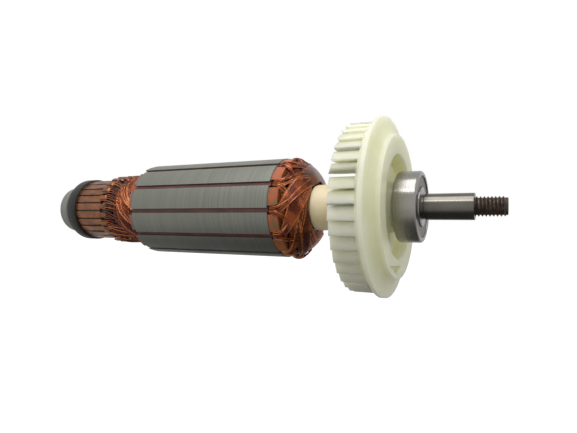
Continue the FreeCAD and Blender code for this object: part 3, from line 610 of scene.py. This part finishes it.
# At the commutator end the coils lie flat round the shaft, and leads slant from them to the
# hooks, where they lie on both sides of the bar and cross under its hook.
REAR_HEAD = ((rear_face - 0.3, 13.0), (rear_face - 10.5, 14.6), (rear_face - 14.4, 11.6))
BARS = 24
HOOK_PITCH = 360 / BARS
HOOK_SIDE = 5.0
LEAD_SIDES = (-1.5, -0.5, 0.5, 1.5)
LEAD_PITCH = 3.75
LEAD_SLANT = 15
LEAD_FAN = 5
LEAD_SCATTER = 9
LEAD_RISE = 0.35
hooks_front = ends("commutator_bar_01")[1]
rear_routes = coils(strands=15, low_crown=0.1, high_crown=0.82, lift=-0.55, tilt=0.5,
                    section=REAR_HEAD, spread=4.5)
for hook in range(BARS):
    angle = (hook + 0.5) * HOOK_PITCH
    for side in LEAD_SIDES:
        slant = LEAD_SLANT + side * LEAD_FAN + chance.uniform(-LEAD_SCATTER, LEAD_SCATTER)
        rise = chance.uniform(-LEAD_RISE, LEAD_RISE)
        beside = math.copysign(HOOK_SIDE, side)
        rear_routes.append([
            round_shaft(rear_face - 4.0, 12.2, angle + slant),
            round_shaft(rear_face - 6.5, 12.9, angle + slant * 0.8),
            round_shaft(rear_face - 9.0, 13.25 + rise, angle + slant * 0.55),
            round_shaft(rear_face - 11.5, 13.45 + rise, angle + slant * 0.3 + side),
            round_shaft(hooks_front + 1.4, 13.5 + rise, angle + side * LEAD_PITCH),
            round_shaft(hooks_front + 0.3, 13.35, angle + side * LEAD_PITCH),
            round_shaft(hooks_front - 0.8, 12.95, angle + beside),
            round_shaft(hooks_front - 1.9, 12.9, angle + beside),
            round_shaft(hooks_front - 2.3, 12.85, angle),
        ])
rear_wires = wires("winding_rear_wires", rear_routes, WIRE_RADIUS)
SHAFT_CLEARANCE = 0.05
SLEEVE_CLEARANCE = 0.1
shaft_bore = CORE_SEAT_RADIUS + SHAFT_CLEARANCE
bore_step = sleeve_rear - SLEEVE_CLEARANCE
rear_core = turned("winding_rear_core", [
    (rear_face + 0.6, CORE_BORE), (rear_face + 0.6, 11.2), (rear_face - 1.0, 12.1),
    (rear_face - 12.8, 12.4), (rear_face - 14.3, 11.2), (rear_face - 14.3, shaft_bore),
    (bore_step, shaft_bore), (bore_step, CORE_BORE), (rear_face + 0.6, CORE_BORE),
], steps=HEAD_STEPS)
for piece, finish in ((front_wires, varnished_copper), (rear_wires, varnished_copper),
                      (front_core, varnish_body_with_painted_shade), (rear_core, varnish_body_with_painted_shade), (paper, varnish_skin)):
    kinds = [face.material_index for face in piece.data.polygons]
    finish_as(piece, finish, "armature_winding")
    if finish == varnished_copper:
        piece.data.materials.append(copper_with_painted_glint)
    piece.data.polygons.foreach_set("material_index", kinds)


# Commutator. Twenty-four copper bars moulded into a dark resin body and turned true. Brushes
# have dulled the copper and left fine lines round it; each bar ends in a hook bent over its leads.
BAR_EDGE = 0.1
bar_copper, tree, shader = material("turned_bar_copper", metallic=0.85, roughness=0.34)
lines = grain(tree, 0.25, 50.0)
tarnish = grain(tree, 5.0, 2.2, 3.0)
tone = between(tree, tarnish, "#754d3a", "#a96f48")
feed(tree, shader, Base_Color=between(tree, lines, tone, "#9a6e57", 0.45, 0.75),
     Roughness=between(tree, lines, 0.26, 0.42))
relief(tree, shader, lines, 0.008)
hub_resin, tree, shader = material("moulded_brown_phenolic", roughness=0.5)
feed(tree, shader, Base_Color=between(tree, grain(tree, 1.5, 1.5, 3.0), "#2c1a10", "#4a2c1a"))
for number in range(1, BARS + 1):
    softened("commutator_bar_%02d" % number, bar_copper, BAR_EDGE)
refinish(hub_resin, "commutator_hub")


# Insulating washer. Black phenolic moulding with a coned rim, pressed on the shaft between the
# commutator and the rear bearing. It is smooth and a little glossy.
WASHER_EDGE = 0.25
black_resin, tree, shader = material("moulded_black_phenolic", roughness=0.42)
feed(tree, shader, Base_Color=between(tree, grain(tree, 1.5, 4.0, 3.0), "#171812", "#22241a"))
relief(tree, shader, grain(tree, 0.5, 3.0), 0.01)
softened("insulating_washer", black_resin, WASHER_EDGE)


# Fan. Natural nylon moulded in one, with leaning vanes and a flared rim. Thin parts let some
# light through, and the surface has the faint ripple of a moulding.
FAN_EDGE = 0.3
NYLON_GLOW = (6.0, 6.0, 5.3)
fan_nylon, tree, shader = material("moulded_natural_nylon", roughness=0.33,
                                   Subsurface_Weight=1.0, Subsurface_Scale=1.0,
                                   Subsurface_Radius=[depth * MM for depth in NYLON_GLOW])
cloud = grain(tree, 9.0, 9.0)
feed(tree, shader, Base_Color=between(tree, cloud, "#efeec7", "#f6f5d2"),
     Roughness=between(tree, cloud, 0.3, 0.38))
relief(tree, shader, grain(tree, 1.6, 1.6), 0.02)
softened("fan", fan_nylon, FAN_EDGE)


# Studio. A plain pale floor well below the part and two long soft boxes above it. The backdrop
# is white to the camera; in the metal it shows dimmer. The floor shows in the metal only as a glow,
# and that glow is darker close to the part: a painted shadow of the part.
FLOOR_DROP = 250
FLOOR_SIZE = 6000
FLOOR_TO_CAMERA = 0.85
FLOOR_IN_METAL_UNDER_PAINTED_SHADOW = 0.1
FLOOR_IN_METAL_FAR = 0.6
FLOOR_NEAR = 180
FLOOR_FAR = 550
BACKDROP_IN_METAL = 0.7
AMBIENT = 0.8
CAMERA_LENS = 29.7
CAMERA_REACH = (10, 20000)
CAMERA_AT = (31.8, -148.2, 5.43)
CAMERA_TURN = 26.61
CAMERA_PITCH = -2.91
CAMERA_ROLL = -1.40


def white_share(tree, to_camera, in_metal):
    """Strength of white for the camera, and for reflections and glass; gives the light path too."""
    path = add(tree, "ShaderNodeLightPath").outputs
    mirrored = add(tree, "ShaderNodeMath", {0: path["Is Glossy Ray"], 1: path["Is Transmission Ray"]},
                   operation="MAXIMUM").outputs[0]
    mirrored = add(tree, "ShaderNodeMath", {0: mirrored, 1: in_metal},
                   operation="MULTIPLY").outputs[0]
    direct = add(tree, "ShaderNodeMath", {0: path["Is Camera Ray"], 1: to_camera},
                 operation="MULTIPLY")
    both = add(tree, "ShaderNodeMath", {0: direct.outputs[0], 1: mirrored}, operation="ADD")
    return both.outputs[0], path


bpy.ops.object.select_all(action="DESELECT")
bpy.ops.mesh.primitive_plane_add(size=FLOOR_SIZE * MM, location=(0, 0, -FLOOR_DROP * MM))
floor = bpy.context.object
floor.name = "studio_floor"
pale, tree, shader = material("pale_floor_paint", roughness=0.9)
feed(tree, shader, Base_Color=between(tree, grain(tree, 40, 40), "#949492", "#9c9c9a"))
away = add(tree, "ShaderNodeVectorMath", {0: add(tree, "ShaderNodeTexCoord").outputs["Object"]},
           operation="LENGTH").outputs["Value"]
# The floor's glow in reflections fades close to the part: a painted shadow under it.
in_metal = between(tree, away, FLOOR_IN_METAL_UNDER_PAINTED_SHADOW, FLOOR_IN_METAL_FAR,
                   start=FLOOR_NEAR * MM, end=FLOOR_FAR * MM)
glow, path = white_share(tree, FLOOR_TO_CAMERA, in_metal)
white = add(tree, "ShaderNodeEmission", {"Color": (1, 1, 1, 1), "Strength": glow})
paint = add(tree, "ShaderNodeMixShader", {0: path["Is Glossy Ray"], 1: shader.outputs[0]})
both = add(tree, "ShaderNodeAddShader", {0: paint.outputs[0], 1: white.outputs[0]})
tree.links.new(both.outputs[0], tree.nodes["Material Output"].inputs["Surface"])
floor.data.materials.append(pale)

world = bpy.data.worlds.new("studio")
bpy.context.scene.world = world
world.use_nodes = True
tree = world.node_tree
tree.nodes.clear()
ambient = add(tree, "ShaderNodeBackground", {"Color": linear("#ffffff"), "Strength": AMBIENT})
glow, path = white_share(tree, 1.0, BACKDROP_IN_METAL)
white = add(tree, "ShaderNodeBackground", {"Color": (1, 1, 1, 1), "Strength": glow})
seen = add(tree, "ShaderNodeMath", {0: path["Is Camera Ray"], 1: path["Is Glossy Ray"]},
           operation="MAXIMUM")
seen = add(tree, "ShaderNodeMath", {0: seen.outputs[0], 1: path["Is Transmission Ray"]},
           operation="MAXIMUM")
mixed = add(tree, "ShaderNodeMixShader",
            {0: seen.outputs[0], 1: ambient.outputs[0], 2: white.outputs[0]})
add(tree, "ShaderNodeOutputWorld", {"Surface": mixed.outputs[0]})


def lamp(name, along, azimuth, elevation, distance, width, height, power):
    """Soft box facing the shaft at a place along it; azimuth and elevation as a camera has them."""
    turn, rise = math.radians(azimuth), math.radians(elevation)
    away = Vector((math.sin(turn) * math.cos(rise), -math.cos(turn) * math.cos(rise), math.sin(rise)))
    data = bpy.data.lights.new(name, "AREA")
    data.shape = "RECTANGLE"
    data.size, data.size_y = width * MM, height * MM
    data.energy = power
    box = bpy.data.objects.new(name, data)
    box.location = Vector((along * MM, 0, 0)) + away * distance * MM
    box.rotation_euler = (-away).to_track_quat("-Z", "Y").to_euler()
    bpy.context.scene.collection.objects.link(box)


lamp("key_softbox", along=-35, azimuth=0, elevation=56, distance=320,
     width=200, height=60, power=0.21)
lamp("overhead_softbox", along=-35, azimuth=0, elevation=80, distance=320,
     width=200, height=190, power=0.32)

camera_data = bpy.data.cameras.new("camera")
camera_data.lens = CAMERA_LENS
camera_data.clip_start, camera_data.clip_end = (reach * MM for reach in CAMERA_REACH)
camera = bpy.data.objects.new("camera", camera_data)
bpy.context.scene.collection.objects.link(camera)
camera.matrix_world = (Matrix.Translation(Vector(CAMERA_AT) * MM)
                       @ Matrix.Rotation(math.radians(CAMERA_TURN), 4, "Z")
                       @ Matrix.Rotation(math.radians(90 + CAMERA_PITCH), 4, "X")
                       @ Matrix.Rotation(math.radians(CAMERA_ROLL), 4, "Z"))
bpy.context.scene.camera = camera
bpy.context.scene.view_settings.view_transform = "Standard"
